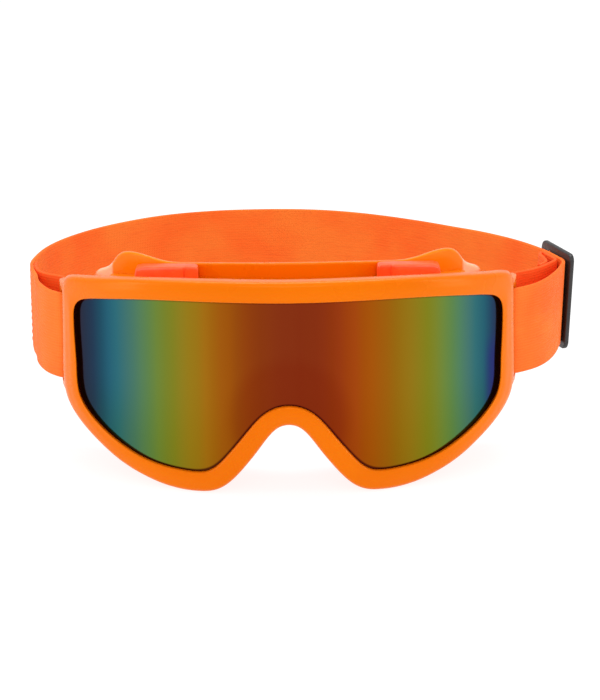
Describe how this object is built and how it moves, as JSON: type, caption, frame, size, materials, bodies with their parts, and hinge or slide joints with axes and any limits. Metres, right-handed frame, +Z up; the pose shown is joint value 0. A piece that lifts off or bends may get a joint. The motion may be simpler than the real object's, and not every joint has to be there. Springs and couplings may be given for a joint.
{
  "type": "ski goggles",
  "caption": "Ski goggles: moulded frame, wrap-round cylindrical lens, face foam and an elastic webbing strap on side ears, shortened by a sliding tri-glide.",
  "frame": {"origin": "centre of the whole object's footprint, at the height of the frame's lowest point", "axes": "+Z up, -Y the way the lens faces, +X towards the wearer's left side, where the slider is"},
  "size_m": [0.2225, 0.2019, 0.0854],
  "materials": {
    "frame": "gloss",
    "lens": "mirror coated",
    "foam": "open-cell foam",
    "vent_pad": "satin",
    "vent_foam": "open-cell foam",
    "webbing": "woven elastic",
    "thread": "polyester thread",
    "slider": "satin"
  },
  "bodies": {
    "goggles": {"frame": "frame", "lens": "lens", "face_foam": "foam", "top_vent_pad_left": "vent_pad", "top_vent_pad_right": "vent_pad", "bottom_vent_foam_left": "vent_foam", "bottom_vent_foam_right": "vent_foam"},
    "strap": {"strap_back": "webbing", "strap_loop_left": "webbing", "strap_loop_right": "webbing", "strap_stitching_left": "thread"},
    "slider": {"slider": "slider", "strap_end_fold": "webbing", "strap_bar_wrap": "webbing", "strap_stitching_right": "thread"}
  },
  "joints": [
    {"name": "strap_tilt", "type": "hinge", "parent": "goggles", "child": "strap", "pos_m": [-0.00555, -0.0375, 0.0515], "axis": [1, 0, 0], "range_deg": [-4, 4]},
    {"name": "slider_travel", "type": "hinge", "parent": "strap", "child": "slider", "pos_m": [-0.00555, -0.031, 0.0515], "axis": [0, 0, 1], "range_deg": [0, 25]}
  ]
}
